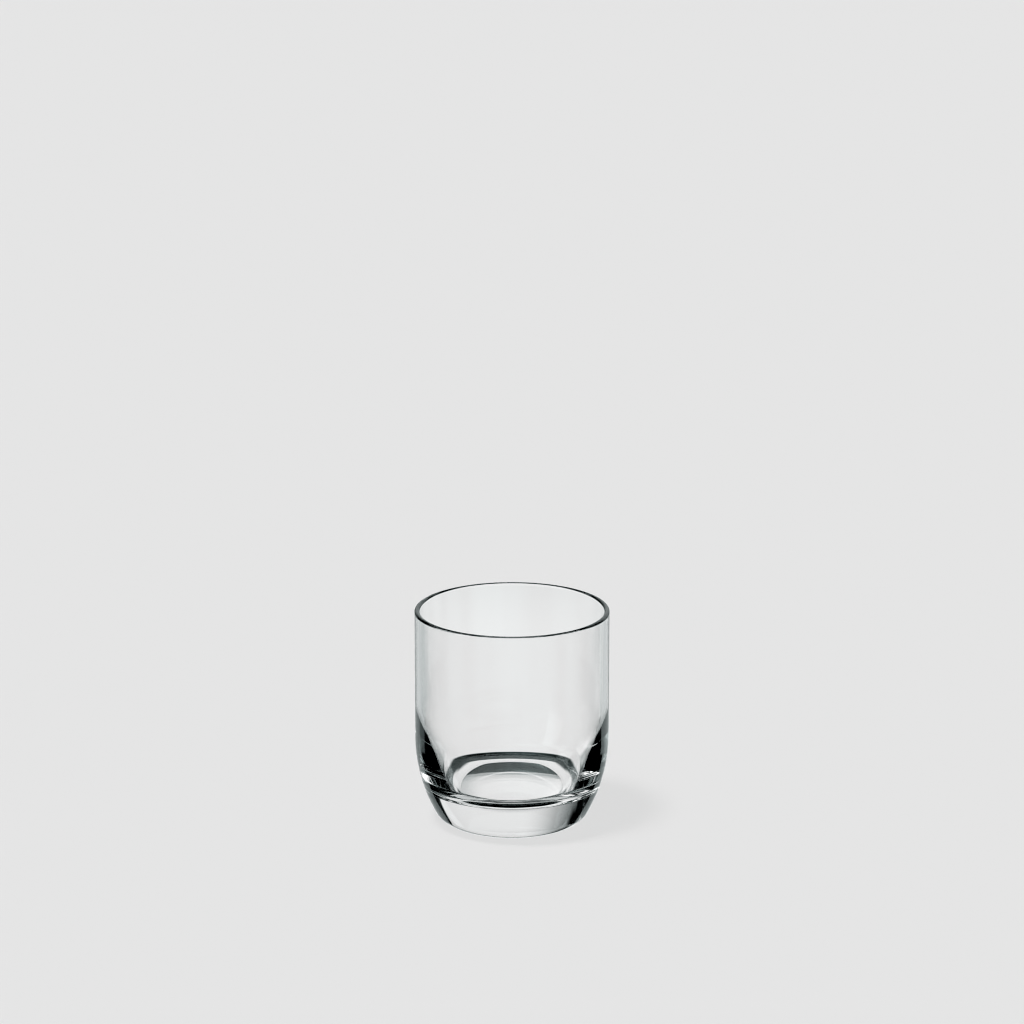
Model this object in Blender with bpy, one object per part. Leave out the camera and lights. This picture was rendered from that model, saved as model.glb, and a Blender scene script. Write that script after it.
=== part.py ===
"""Schnapps glass: one body of clear glass, turned about the vertical axis, standing on z = 0."""

import math

import bpy

MM = 0.001

# Outside
OUTER_DIAMETER = 48.0 * MM
HEIGHT = 54.2 * MM
OUTER_BEND_HEIGHT = 21.8 * MM  # the wall is upright above this height and curves in below it
OUTER_BEND_RADIUS = 40.2 * MM
HEEL_RADIUS = 5.46 * MM  # rounds the lower wall into the underside

# Cavity
RIM_WALL = 1.3 * MM  # the wall is thinnest at the rim
WALL = 1.56 * MM  # and this thick where the cavity's bend starts
CAVITY_BEND_HEIGHT = 29.7 * MM  # the cavity is near straight above this height and narrows below it
CAVITY_BEND_RADIUS = 46.5 * MM
CAVITY_CORNER_RADIUS = 6.5 * MM  # rounds the cavity's wall towards its floor
FLOOR_CORNER_SLOPE = math.radians(65.5)  # slope from upright where the corner turns tighter
FLOOR_CORNER_RADIUS = 3.0 * MM  # the tighter round that runs into the flat floor
BASE_THICKNESS = 8.93 * MM  # from the standing plane to the cavity's flat floor

# Underside
CONTACT_RING_WIDTH = 0.5 * MM  # flat ring that the glass stands on
PUNT_DEPTH = 1.15 * MM  # spherical hollow under the base, inside the contact ring

# Fineness of the mesh
TURN_STEPS = 72
BEND_STEPS = 8
CORNER_STEPS = 6
FLOOR_CORNER_STEPS = 3
RIM_STEPS = 6
PUNT_STEPS = 4

GLASS_COLOUR = (0.97, 0.99, 0.99, 1.0)
GLASS_ROUGHNESS = 0.02
GLASS_IOR = 1.5

AXIS_MERGE = 0.01 * MM


def clear_scene():
    for found in list(bpy.data.objects):
        bpy.data.objects.remove(found, do_unlink=True)


def arc(centre, radius, start, end, steps):
    """Points along an arc in the (radius, height) plane, with both ends."""
    angles = [start + (end - start) * step / steps for step in range(steps + 1)]
    return [
        (centre[0] + radius * math.cos(angle), centre[1] + radius * math.sin(angle))
        for angle in angles
    ]


def direction(start, end):
    return math.atan2(end[1] - start[1], end[0] - start[0])


def cavity_profile():
    """From the middle of the floor out round its corner and up the bend, which leans with the wall."""
    lean = math.atan2(WALL - RIM_WALL, HEIGHT - RIM_WALL / 2 - CAVITY_BEND_HEIGHT)
    bend_centre = (
        OUTER_DIAMETER / 2 - WALL - CAVITY_BEND_RADIUS * math.cos(lean),
        CAVITY_BEND_HEIGHT + CAVITY_BEND_RADIUS * math.sin(lean),
    )
    inset = CAVITY_CORNER_RADIUS - FLOOR_CORNER_RADIUS
    floor_corner_height = BASE_THICKNESS + FLOOR_CORNER_RADIUS
    corner_height = floor_corner_height + inset * math.sin(FLOOR_CORNER_SLOPE)
    drop = bend_centre[1] - corner_height
    reach = math.sqrt((CAVITY_BEND_RADIUS - CAVITY_CORNER_RADIUS) ** 2 - drop**2)
    corner_centre = (bend_centre[0] + reach, corner_height)
    floor_corner_centre = (
        corner_centre[0] + inset * math.cos(FLOOR_CORNER_SLOPE),
        floor_corner_height,
    )
    tight = -FLOOR_CORNER_SLOPE
    bend_end = direction(bend_centre, corner_centre)
    floor_corner = arc(
        floor_corner_centre, FLOOR_CORNER_RADIUS, -math.pi / 2, tight, FLOOR_CORNER_STEPS
    )
    corner = arc(corner_centre, CAVITY_CORNER_RADIUS, tight, bend_end, CORNER_STEPS)
    bend = arc(bend_centre, CAVITY_BEND_RADIUS, bend_end, -lean, BEND_STEPS)
    return [(0.0, BASE_THICKNESS)] + floor_corner + corner[1:] + bend[1:]


def rim_profile():
    """A full round over the wall's top, from its inner side to its outer side."""
    centre = (OUTER_DIAMETER / 2 - RIM_WALL / 2, HEIGHT - RIM_WALL / 2)
    return arc(centre, RIM_WALL / 2, math.pi, 0.0, RIM_STEPS)


def outside_profile():
    """From the top of the outer bend down round the heel to the contact ring's outer edge."""
    bend_centre = (OUTER_DIAMETER / 2 - OUTER_BEND_RADIUS, OUTER_BEND_HEIGHT)
    drop = OUTER_BEND_HEIGHT - HEEL_RADIUS
    reach = math.sqrt((OUTER_BEND_RADIUS - HEEL_RADIUS) ** 2 - drop**2)
    heel_centre = (bend_centre[0] + reach, HEEL_RADIUS)
    bend_end = direction(bend_centre, heel_centre)
    bend = arc(bend_centre, OUTER_BEND_RADIUS, 0.0, bend_end, BEND_STEPS)
    heel = arc(heel_centre, HEEL_RADIUS, bend_end, -math.pi / 2, CORNER_STEPS)
    return bend + heel[1:]


def punt_profile(edge_radius):
    """The spherical hollow under the base, from the contact ring's inner edge to the axis."""
    sphere = (edge_radius**2 + PUNT_DEPTH**2) / (2 * PUNT_DEPTH)
    centre = (0.0, PUNT_DEPTH - sphere)
    edge = direction(centre, (edge_radius, 0.0))
    return arc(centre, sphere, edge, math.pi / 2, PUNT_STEPS)


def glass_profile():
    """The whole section as (radius, height) points, from the cavity's floor round to the underside."""
    outside = outside_profile()
    ring_edge = outside[-1][0]
    punt = punt_profile(ring_edge - CONTACT_RING_WIDTH)
    return cavity_profile() + rim_profile() + outside + punt


def glass_material():
    material = bpy.data.materials.new("clear_glass")
    material.use_nodes = True
    shader = material.node_tree.nodes["Principled BSDF"]
    shader.inputs["Base Color"].default_value = GLASS_COLOUR
    shader.inputs["Roughness"].default_value = GLASS_ROUGHNESS
    shader.inputs["Metallic"].default_value = 0.0
    shader.inputs["IOR"].default_value = GLASS_IOR
    shader.inputs["Transmission Weight"].default_value = 1.0
    return material


def turned_body(name, profile, material):
    """A closed body turned about Z from (radius, height) points that start and end on the axis."""
    mesh = bpy.data.meshes.new(name)
    points = [(radius, 0.0, height) for radius, height in profile]
    edges = [(index, index + 1) for index in range(len(points) - 1)]
    mesh.from_pydata(points, edges, [])
    mesh.materials.append(material)
    body = bpy.data.objects.new(name, mesh)
    bpy.context.scene.collection.objects.link(body)
    turn = body.modifiers.new("turn", "SCREW")
    turn.axis = "Z"
    turn.steps = TURN_STEPS
    turn.render_steps = TURN_STEPS
    turn.use_merge_vertices = True
    turn.merge_threshold = AXIS_MERGE
    turn.use_smooth_shade = True
    return body


def build():
    clear_scene()
    turned_body("glass_body", glass_profile(), glass_material())


build()
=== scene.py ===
import math

import bpy
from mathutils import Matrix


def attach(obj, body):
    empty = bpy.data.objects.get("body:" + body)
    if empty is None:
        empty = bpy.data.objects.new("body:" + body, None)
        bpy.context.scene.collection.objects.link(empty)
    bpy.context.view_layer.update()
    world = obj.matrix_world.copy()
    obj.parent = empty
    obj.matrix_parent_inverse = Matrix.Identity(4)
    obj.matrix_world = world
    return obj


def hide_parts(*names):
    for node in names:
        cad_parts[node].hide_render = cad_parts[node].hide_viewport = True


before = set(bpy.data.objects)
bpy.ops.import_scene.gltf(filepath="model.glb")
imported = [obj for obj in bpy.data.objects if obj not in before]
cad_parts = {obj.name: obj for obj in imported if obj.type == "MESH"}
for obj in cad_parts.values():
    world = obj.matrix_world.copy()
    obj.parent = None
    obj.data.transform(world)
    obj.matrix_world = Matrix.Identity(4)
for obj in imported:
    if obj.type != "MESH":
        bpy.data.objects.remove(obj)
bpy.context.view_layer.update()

MM = 0.001

# The glass, as the solid part has it
OUTER_RADIUS = 24.0 * MM
HEIGHT = 54.2 * MM
OUTER_BEND_HEIGHT = 21.8 * MM  # the wall is upright above this height and curves in below it
OUTER_BEND_RADIUS = 40.2 * MM
HEEL_RADIUS = 5.46 * MM
WALL = 1.56 * MM  # where the cavity's bend starts
RIM_WALL = 1.3 * MM
CAVITY_BEND_HEIGHT = 29.7 * MM
CAVITY_BEND_RADIUS = 46.5 * MM
CAVITY_CORNER_RADIUS = 6.5 * MM
FLOOR_CORNER_SLOPE = math.radians(65.5)  # slope from upright where the corner turns tighter
FLOOR_CORNER_RADIUS = 3.0 * MM
BASE_THICKNESS = 8.93 * MM
CONTACT_RING_WIDTH = 0.5 * MM
PUNT_DEPTH = 1.15 * MM

# Fineness of the mesh
TURN_STEPS = 256
BEND_STEPS = 48
CORNER_STEPS = 24
FLOOR_CORNER_STEPS = 12
RIM_STEPS = 24
PUNT_STEPS = 24
FLOOR_RINGS = 6
WALL_RINGS = 6

# Directions that a surface faces in the section
OUTWARD = 0.0
UP = math.pi / 2
INWARD = math.pi
DOWN = -math.pi / 2
HOLLOW = math.pi  # added on a hollow arc, which faces its own centre

# Clear glass
GLASS_IOR = 1.5
GLASS_TINT = (0.998, 1.0, 1.0, 1.0)
REFLECTION_TINT = (0.86, 1.0, 1.0, 1.0)
POLISH_SCALE = 160.0
POLISH_DETAIL = 3.0
POLISH_RANGE = (0.35, 0.75)  # noise below this is fully polished, above it least
POLISH_ROUGHNESS = 0.006
RIPPLE_SCALE = 45.0
RIPPLE_DEPTH = 0.002 * MM

# Floor and room
FLOOR_RADIUS = 3.0
FLOOR_SIDES = 128
FLOOR_ALBEDO = 0.8
BACKGROUND = 0.7835
SURROUND = 0.86
SURROUND_WARMTH = 0.98
BLACK = (0.0, 0.0, 0.0, 1.0)

# Lights
FILL_ANGLE = math.radians(1)
KEY_SHARE = 0.10  # of the light on the floor, the part that casts the soft shadow
KEY_TILT = math.radians(17)
KEY_TURN = math.radians(-58)
KEY_ANGLE = math.radians(11)

# Camera, in metres and radians, with the lens in millimetres
CAMERA_DISTANCE = 1.08663
CAMERA_HEIGHT = 0.38003
CAMERA_PITCH = 0.27033
CAMERA_LENS = 162.27
CAMERA_SENSOR = 36.0

# Picture
COOL_TONES = ((0.02, 0.0181), (0.08, 0.0732), (0.2, 0.188), (0.43, 0.419))  # a tone and its red
PIXEL_FILTER = 1.1
LIGHT_BOUNCES = 12


# Section of the glass
def arc(centre, radius, start, end, steps, facing=0.0):
    """Points along an arc as radius, height and the angle that the surface faces."""
    angles = [start + (end - start) * step / steps for step in range(steps + 1)]
    return [
        (centre[0] + radius * math.cos(a), centre[1] + radius * math.sin(a), a + facing)
        for a in angles
    ]


def line(start, end, steps, facing):
    """Points along a straight stretch, in the same form."""
    return [
        (
            start[0] + (end[0] - start[0]) * step / steps,
            start[1] + (end[1] - start[1]) * step / steps,
            facing,
        )
        for step in range(steps + 1)
    ]


def direction(start, end):
    return math.atan2(end[1] - start[1], end[0] - start[0])


def cavity_profile():
    """From the edge of the flat floor round its corner and up the bend, which leans with the wall."""
    lean = math.atan2(WALL - RIM_WALL, HEIGHT - RIM_WALL / 2 - CAVITY_BEND_HEIGHT)
    bend_centre = (
        OUTER_RADIUS - WALL - CAVITY_BEND_RADIUS * math.cos(lean),
        CAVITY_BEND_HEIGHT + CAVITY_BEND_RADIUS * math.sin(lean),
    )
    inset = CAVITY_CORNER_RADIUS - FLOOR_CORNER_RADIUS
    floor_corner_height = BASE_THICKNESS + FLOOR_CORNER_RADIUS
    corner_height = floor_corner_height + inset * math.sin(FLOOR_CORNER_SLOPE)
    drop = bend_centre[1] - corner_height
    reach = math.sqrt((CAVITY_BEND_RADIUS - CAVITY_CORNER_RADIUS) ** 2 - drop**2)
    corner_centre = (bend_centre[0] + reach, corner_height)
    floor_corner_centre = (
        corner_centre[0] + inset * math.cos(FLOOR_CORNER_SLOPE), floor_corner_height
    )
    tight = -FLOOR_CORNER_SLOPE
    bend_end = direction(bend_centre, corner_centre)
    floor_corner = arc(
        floor_corner_centre, FLOOR_CORNER_RADIUS, DOWN, tight, FLOOR_CORNER_STEPS, HOLLOW
    )
    corner = arc(corner_centre, CAVITY_CORNER_RADIUS, tight, bend_end, CORNER_STEPS, HOLLOW)
    bend = arc(bend_centre, CAVITY_BEND_RADIUS, bend_end, -lean, BEND_STEPS, HOLLOW)
    return floor_corner + corner[1:] + bend[1:]


def outside_profile():
    """From the top of the outer bend down round the heel to the contact ring's outer edge."""
    bend_centre = (OUTER_RADIUS - OUTER_BEND_RADIUS, OUTER_BEND_HEIGHT)
    drop = OUTER_BEND_HEIGHT - HEEL_RADIUS
    reach = math.sqrt((OUTER_BEND_RADIUS - HEEL_RADIUS) ** 2 - drop**2)
    heel_centre = (bend_centre[0] + reach, HEEL_RADIUS)
    bend_end = direction(bend_centre, heel_centre)
    bend = arc(bend_centre, OUTER_BEND_RADIUS, OUTWARD, bend_end, BEND_STEPS)
    heel = arc(heel_centre, HEEL_RADIUS, bend_end, DOWN, CORNER_STEPS)
    return bend + heel[1:]


def punt_profile(edge_radius):
    """The spherical hollow under the base, from the contact ring's inner edge to the axis."""
    sphere = (edge_radius**2 + PUNT_DEPTH**2) / (2 * PUNT_DEPTH)
    centre = (0.0, PUNT_DEPTH - sphere)
    edge = direction(centre, (edge_radius, 0.0))
    return arc(centre, sphere, edge, UP, PUNT_STEPS, HOLLOW)


def glass_profile():
    """The section from the cavity's floor round to the contact ring, and the punt inside the ring."""
    rim_height = HEIGHT - RIM_WALL / 2
    cavity = cavity_profile()
    outside = outside_profile()
    punt = punt_profile(outside[-1][0] - CONTACT_RING_WIDTH)
    floor = line((0.0, BASE_THICKNESS), cavity[0], FLOOR_RINGS, UP)
    inner_wall = line(cavity[-1], (OUTER_RADIUS - RIM_WALL, rim_height), WALL_RINGS, cavity[-1][2])
    rim = arc((OUTER_RADIUS - RIM_WALL / 2, rim_height), RIM_WALL / 2, INWARD, OUTWARD, RIM_STEPS)
    outer_wall = line((OUTER_RADIUS, rim_height), outside[0], WALL_RINGS, OUTWARD)
    ring_edge = (punt[0][0], 0.0, DOWN)
    upper = floor + cavity[1:] + inner_wall[1:] + rim[1:] + outer_wall[1:] + outside[1:]
    return upper + [ring_edge], punt


# The glass
def turned_mesh(name, upper, punt):
    """A closed body turned about Z, with the normals of the true curves; one crease, at the punt."""
    rows = upper + punt[1:]
    crease = len(upper) - 1
    before = [row[2] for row in rows]
    after = before[:crease] + [punt[0][2]] + before[crease + 1 :]
    turns = [2 * math.pi * step / TURN_STEPS for step in range(TURN_STEPS)]

    def normal(facing, step):
        out = math.cos(facing)
        return (out * math.cos(turns[step]), out * math.sin(turns[step]), math.sin(facing))

    verts = [(0.0, 0.0, rows[0][1])]
    for radius, height, _ in rows[1:-1]:
        verts += [(radius * math.cos(t), radius * math.sin(t), height) for t in turns]
    verts.append((0.0, 0.0, rows[-1][1]))
    last = len(verts) - 1
    end = len(rows) - 2
    faces = []
    normals = []
    for step in range(TURN_STEPS):
        following = (step + 1) % TURN_STEPS
        faces.append((0, 1 + step, 1 + following))
        normals += [(0, 0, 1), normal(before[1], step), normal(before[1], following)]
        for row in range(1, end):
            here = 1 + (row - 1) * TURN_STEPS
            there = here + TURN_STEPS
            faces.append((here + step, there + step, there + following, here + following))
            normals += [
                normal(after[row], step),
                normal(before[row + 1], step),
                normal(before[row + 1], following),
                normal(after[row], following),
            ]
        ring = 1 + (end - 1) * TURN_STEPS
        faces.append((ring + following, ring + step, last))
        normals += [normal(after[end], following), normal(after[end], step), (0, 0, -1)]
    mesh = bpy.data.meshes.new(name)
    mesh.from_pydata(verts, [], faces)
    mesh.shade_smooth()
    first = 1 + (crease - 1) * TURN_STEPS
    on_crease = range(first, first + TURN_STEPS)
    for edge in mesh.edges:
        edge.use_edge_sharp = all(vertex in on_crease for vertex in edge.vertices)
    mesh.normals_split_custom_set(normals)
    body = bpy.data.objects.new(name, mesh)
    bpy.context.scene.collection.objects.link(body)
    return body


def glass_material():
    """Clear glass with a faintly uneven polish and a slight ripple left by the mould."""
    material = bpy.data.materials.new("clear_glass")
    material.use_nodes = True
    nodes = material.node_tree.nodes
    links = material.node_tree.links
    shader = nodes["Principled BSDF"]
    shader.inputs["Base Color"].default_value = GLASS_TINT
    shader.inputs["Metallic"].default_value = 0.0
    shader.inputs["IOR"].default_value = GLASS_IOR
    shader.inputs["Specular Tint"].default_value = REFLECTION_TINT
    shader.inputs["Transmission Weight"].default_value = 1.0
    place = nodes.new("ShaderNodeTexCoord")

    polish = nodes.new("ShaderNodeTexNoise")
    polish.inputs["Scale"].default_value = POLISH_SCALE
    polish.inputs["Detail"].default_value = POLISH_DETAIL
    links.new(place.outputs["Object"], polish.inputs["Vector"])
    spread = nodes.new("ShaderNodeMapRange")
    spread.inputs["From Min"].default_value = POLISH_RANGE[0]
    spread.inputs["From Max"].default_value = POLISH_RANGE[1]
    spread.inputs["To Min"].default_value = 0.0
    spread.inputs["To Max"].default_value = POLISH_ROUGHNESS
    links.new(polish.outputs["Fac"], spread.inputs["Value"])
    links.new(spread.outputs["Result"], shader.inputs["Roughness"])

    ripple = nodes.new("ShaderNodeTexNoise")
    ripple.inputs["Scale"].default_value = RIPPLE_SCALE
    ripple.inputs["Detail"].default_value = 0.0
    links.new(place.outputs["Object"], ripple.inputs["Vector"])
    relief = nodes.new("ShaderNodeBump")
    relief.inputs["Strength"].default_value = 1.0
    relief.inputs["Distance"].default_value = RIPPLE_DEPTH
    links.new(ripple.outputs["Fac"], relief.inputs["Height"])
    links.new(relief.outputs["Normal"], shader.inputs["Normal"])
    return material


glass = turned_mesh("glass", *glass_profile())
glass.data.materials.append(glass_material())
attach(glass, "root")
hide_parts("glass_body")


# Floor; the glass does not show it, and the low panels of the studio stand for it there
def floor_material():
    material = bpy.data.materials.new("pale_floor")
    material.use_nodes = True
    shader = material.node_tree.nodes["Principled BSDF"]
    shader.inputs["Base Color"].default_value = (FLOOR_ALBEDO, FLOOR_ALBEDO, FLOOR_ALBEDO, 1.0)
    shader.inputs["Roughness"].default_value = 1.0
    shader.inputs["Specular IOR Level"].default_value = 0.0
    return material


bpy.ops.mesh.primitive_circle_add(
    vertices=FLOOR_SIDES, radius=FLOOR_RADIUS, fill_type="NGON", location=(0, 0, 0)
)
floor = bpy.context.object
floor.name = "floor"
floor.data.materials.append(floor_material())
floor.visible_transmission = False
floor.visible_glossy = False

# Studio: soft-edged panels round the glass, placed by direction in degrees.
# Round, 0 is behind the glass and 90 on its right; up, 0 is level and 90 overhead.
world = bpy.data.worlds.new("studio")
bpy.context.scene.world = world
world.use_nodes = True
tree = world.node_tree
tree.nodes.clear()

DEGREES = 180.0 / math.pi
HALF_TURN = 180.0


def node(kind, **settings):
    made = tree.nodes.new(kind)
    for key, value in settings.items():
        setattr(made, key, value)
    return made


def feed(socket, value):
    """Links a socket to another one, or sets it to a plain value."""
    if isinstance(value, bpy.types.NodeSocket):
        tree.links.new(value, socket)
    else:
        socket.default_value = value


def math_node(operation, *values):
    made = node("ShaderNodeMath", operation=operation)
    for socket, value in zip(made.inputs, values):
        feed(socket, value)
    return made.outputs[0]


def rise(value, start, end):
    """0 before start, 1 after end, smooth between."""
    made = node("ShaderNodeMapRange", interpolation_type="SMOOTHSTEP")
    feed(made.inputs["Value"], value)
    made.inputs["From Min"].default_value = start
    made.inputs["From Max"].default_value = end
    return made.outputs["Result"]


def fall(value, start, end):
    """1 before start, 0 after end, smooth between."""
    return math_node("SUBTRACT", 1.0, rise(value, start, end))


def window(value, low, high, soft_low, soft_high):
    """1 between low and high, 0 outside, with soft edges of these widths."""
    entry = rise(value, low - soft_low / 2, low + soft_low / 2)
    leave = fall(value, high - soft_high / 2, high + soft_high / 2)
    return math_node("MULTIPLY", entry, leave)


def mixed(mask, under, over, label):
    """One colour over another where the mask is 1."""
    made = node("ShaderNodeMix", data_type="RGBA", label=label)
    feed(made.inputs["Factor"], mask)
    feed(made.inputs["A"], under)
    feed(made.inputs["B"], over)
    return made.outputs["Result"]


def grey(level, warmth):
    return (level * warmth, level, level, 1.0)


coords = node("ShaderNodeTexCoord")
split = node("ShaderNodeSeparateXYZ")
tree.links.new(coords.outputs["Generated"], split.inputs[0])
elevation = math_node("MULTIPLY", math_node("ARCSINE", split.outputs["Z"]), DEGREES)
heading = math_node("ARCTAN2", split.outputs["X"], split.outputs["Y"])
azimuth = math_node("MULTIPLY", heading, DEGREES)


def panel_mask(middle, half, low_edge, high_edge, soft):
    """Where a panel is, from its place round and up and the widths of its soft edges."""
    upright = window(elevation, low_edge, high_edge, soft[2], soft[3])
    offset = math_node("WRAP", math_node("SUBTRACT", azimuth, middle), HALF_TURN, -HALF_TURN)
    return math_node("MULTIPLY", window(offset, -half, half, soft[0], soft[1]), upright)


# name, level, warmth, middle and half width round, low and high edge, soft edges left right low high
PANELS = [
    ("below", 0.345, 0.924, 180.0, 140.0, -91.0, -56.2, (10.0, 9.9, 1.0, 0.7)),
    ("front_right", 0.607, 0.880, 155.3, 26.8, -44.4, 6.8, (20.8, 20.1, 2.9, 14.0)),
    ("front_left", 0.429, 0.880, -178.4, 12.9, -40.9, -8.5, (10.0, 30.3, 3.0, 10.1)),
    ("left_floor", 0.211, 0.880, -109.9, 17.7, -37.3, 0.0, (12.3, 11.2, 11.9, 8.1)),
    ("right_floor", 0.267, 0.880, 101.0, 11.4, -42.0, -3.8, (9.4, 10.1, 2.9, 8.1)),
    ("horizon", 0.561, 0.958, -1.3, 77.1, -18.0, -4.7, (40.3, 18.8, 0.6, 8.1)),
    ("side_right", 0.625, 0.966, 42.0, 5.0, -20.5, -14.0, (2.0, 2.0, 1.0, 3.0)),
    ("table_wide", 0.595, 0.962, -0.6, 40.5, -39.3, -14.3, (2.8, 2.1, 3.0, 2.3)),
    ("notch_left", 0.382, 0.931, -44.5, 7.5, -20.0, -14.0, (4.0, 4.0, 1.0, 3.0)),
    ("table_left", 0.700, 0.974, -12.9, 5.0, -35.6, -20.1, (5.0, 5.0, 2.9, 2.6)),
    ("table_right", 1.095, 0.985, 10.2, 5.9, -36.0, -18.2, (5.0, 4.8, 2.6, 2.3)),
    ("table", 0.885, 0.985, 0.0, 11.1, -44.7, -16.2, (7.4, 8.0, 2.0, 2.7)),
    ("back", 0.836, 0.985, 12.3, 35.7, 3.0, 31.4, (38.4, 1.9, 5.4, 4.8)),
    ("back_top", 0.708, 0.975, 35.7, 20.6, 32.4, 40.6, (8.0, 7.4, 5.4, 5.6)),
    ("flag_left", 0.000, 0.749, -46.6, 9.7, 6.4, 33.1, (4.0, 4.0, 4.0, 4.0)),
    ("flag_right", 0.000, 0.749, 50.8, 6.3, 7.4, 33.9, (2.0, 4.0, 3.9, 2.0)),
    ("key_low", 0.982, 0.985, -117.5, 12.1, -4.2, 10.4, (3.7, 3.6, 4.6, 3.5)),
    ("key_mid", 1.375, 0.985, -120.5, 8.8, 2.0, 34.6, (3.8, 4.4, 3.6, 4.5)),
    ("key_high", 1.229, 0.985, -97.2, 23.3, 22.1, 42.0, (6.1, 5.4, 3.5, 2.0)),
    ("strip_left", 0.881, 0.985, -84.4, 7.4, 7.7, 27.6, (2.8, 3.5, 3.1, 3.7)),
    ("lamp_left", 1.091, 0.985, -45.3, 14.4, 34.3, 44.2, (5.0, 5.1, 2.7, 3.3)),
    ("front_top", 0.707, 0.880, -150.3, 23.4, 40.5, 55.3, (9.9, 20.0, 3.7, 4.8)),
    ("low_left", 1.005, 0.985, -58.6, 7.8, -53.6, -36.5, (5.6, 5.4, 6.1, 3.4)),
    ("low_right", 0.932, 0.985, 53.8, 10.6, -60.8, -47.4, (6.0, 5.6, 5.7, 4.4)),
]

light = BLACK
for name, level, warmth, middle, half, low_edge, high_edge, soft in PANELS:
    mask = panel_mask(middle, half, low_edge, high_edge, soft)
    light = mixed(mask, light, grey(level, warmth), name)

# What shows straight through the glass from the sides, the back and above is a pale room.
# Straight through means refracted at every surface so far, and at no more than four of them.
STRAIGHT_SURFACES = 4.5
SAME_COUNT = 0.25
ROOM_SIDE = (30.0, 36.0)
ROOM_SIDE_TOP = (-2.0, 2.0)
ROOM_LEVEL = (-13.5, 0.5)
ROOM_LEVEL_SOFT = (3.0, 3.0)
ROOM_FRONT = (80.0, 90.0)
ROOM_FRONT_TOP = (40.0, 50.0)
ROOM_BELOW = (-71.0, -67.0)

paths = node("ShaderNodeLightPath")
through = paths.outputs["Transmission Depth"]
met = math_node("SUBTRACT", paths.outputs["Ray Depth"], 1.0)
refracted_only = math_node("COMPARE", met, through, SAME_COUNT)
few = math_node("LESS_THAN", through, STRAIGHT_SURFACES)
straight = math_node("MULTIPLY", refracted_only, few)
turned = math_node("ABSOLUTE", azimuth)
sides = math_node("MULTIPLY", rise(turned, *ROOM_SIDE), fall(elevation, *ROOM_SIDE_TOP))
level_band = window(elevation, *ROOM_LEVEL, *ROOM_LEVEL_SOFT)
front = math_node("MULTIPLY", rise(turned, *ROOM_FRONT), fall(elevation, *ROOM_FRONT_TOP))
below = fall(elevation, *ROOM_BELOW)
room = math_node(
    "MAXIMUM", math_node("MAXIMUM", sides, level_band), math_node("MAXIMUM", front, below)
)
room_mask = math_node("MULTIPLY", straight, room)
light = mixed(room_mask, light, grey(SURROUND, SURROUND_WARMTH), "pale_room")

# Past the floor's edge the background is flat and neutral
backdrop = (BACKGROUND, BACKGROUND, BACKGROUND, 1.0)
shown = mixed(paths.outputs["Is Camera Ray"], light, backdrop, "backdrop")
studio_light = node("ShaderNodeBackground")
tree.links.new(shown, studio_light.inputs["Color"])
output = node("ShaderNodeOutputWorld")
tree.links.new(studio_light.outputs[0], output.inputs["Surface"])
world.cycles_visibility.diffuse = False


# Lights
def sun(name, strength, tilt, turn, angle, shadow):
    lamp = bpy.data.lights.new(name, "SUN")
    lamp.energy = strength
    lamp.angle = angle
    lamp.use_shadow = shadow
    holder = bpy.data.objects.new(name, lamp)
    bpy.context.scene.collection.objects.link(holder)
    holder.rotation_euler = (tilt, 0.0, turn)
    holder.visible_glossy = False
    holder.visible_transmission = False


full = BACKGROUND * math.pi / FLOOR_ALBEDO
sun("fill", full * (1 - KEY_SHARE), 0.0, 0.0, FILL_ANGLE, False)
sun("key", full * KEY_SHARE / math.cos(KEY_TILT), KEY_TILT, KEY_TURN, KEY_ANGLE, True)

# Camera
lens = bpy.data.cameras.new("camera")
lens.lens = CAMERA_LENS
lens.sensor_width = CAMERA_SENSOR
camera = bpy.data.objects.new("camera", lens)
camera.location = (0.0, -CAMERA_DISTANCE, CAMERA_HEIGHT)
camera.rotation_euler = (math.pi / 2 - CAMERA_PITCH, 0.0, 0.0)
scene = bpy.context.scene
scene.collection.objects.link(camera)
scene.camera = camera

# Darker tones of clear glass lean to a cool grey; the pale background stays neutral
scene.view_settings.view_transform = "Standard"
scene.view_settings.look = "None"
scene.view_settings.use_curve_mapping = True
grading = scene.view_settings.curve_mapping
for tone, red in (*COOL_TONES, (BACKGROUND, BACKGROUND)):
    grading.curves[0].points.new(tone, red)
grading.update()

scene.cycles.filter_width = PIXEL_FILTER
scene.cycles.max_bounces = LIGHT_BOUNCES
scene.cycles.transmission_bounces = LIGHT_BOUNCES
scene.cycles.glossy_bounces = LIGHT_BOUNCES
scene.cycles.caustics_reflective = False
scene.cycles.caustics_refractive = False
